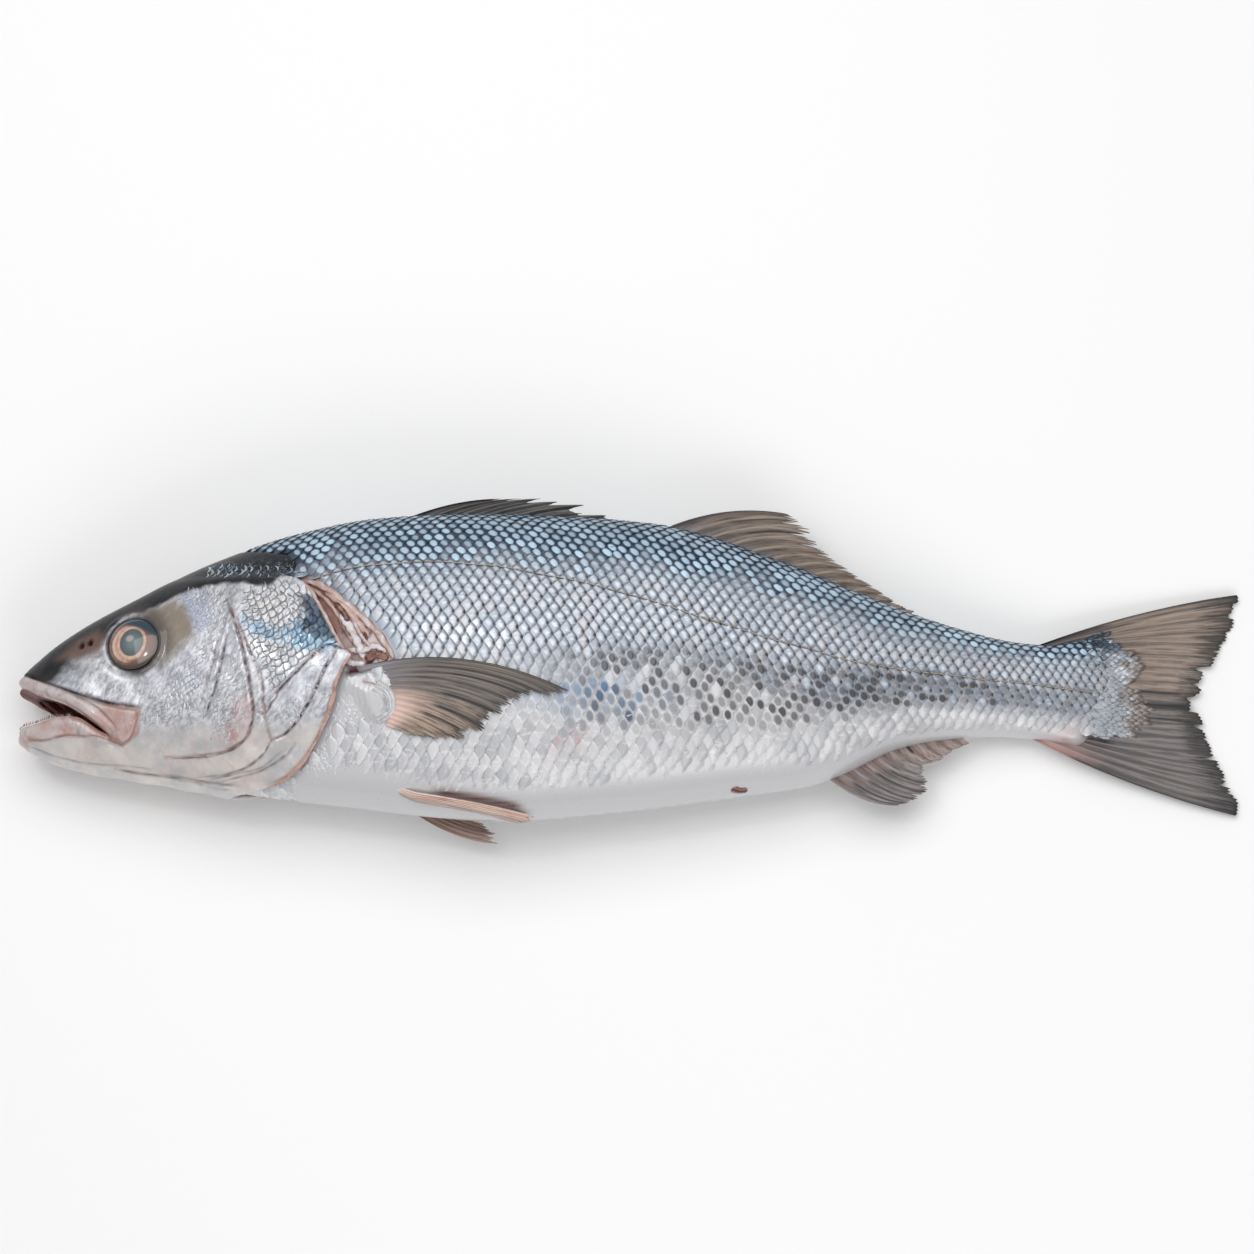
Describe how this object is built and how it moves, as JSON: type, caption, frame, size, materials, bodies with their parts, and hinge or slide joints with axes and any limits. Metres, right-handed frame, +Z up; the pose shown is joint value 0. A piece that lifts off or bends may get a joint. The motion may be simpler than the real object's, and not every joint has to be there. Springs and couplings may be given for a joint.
{
  "type": "whole raw fish",
  "caption": "Whole raw silvery fish lying on its side, with a dark back, folded spiny back fin, breast fin pressed on the flank, open mouth and forked tail.",
  "frame": {"origin": "middle of the footprint, on the plane that the fish rests on", "axes": "+X from head to tail, +Y from belly to back, +Z up out of the left side"},
  "size_m": [0.455, 0.1259, 0.0571],
  "materials": {
    "skin": "gloss",
    "scale": "gloss",
    "fin": "satin",
    "flesh": "gloss",
    "mouth": "gloss",
    "eye": "gloss",
    "tooth": "satin"
  },
  "bodies": {
    "root": {"fish": "skin"}
  },
  "joints": []
}
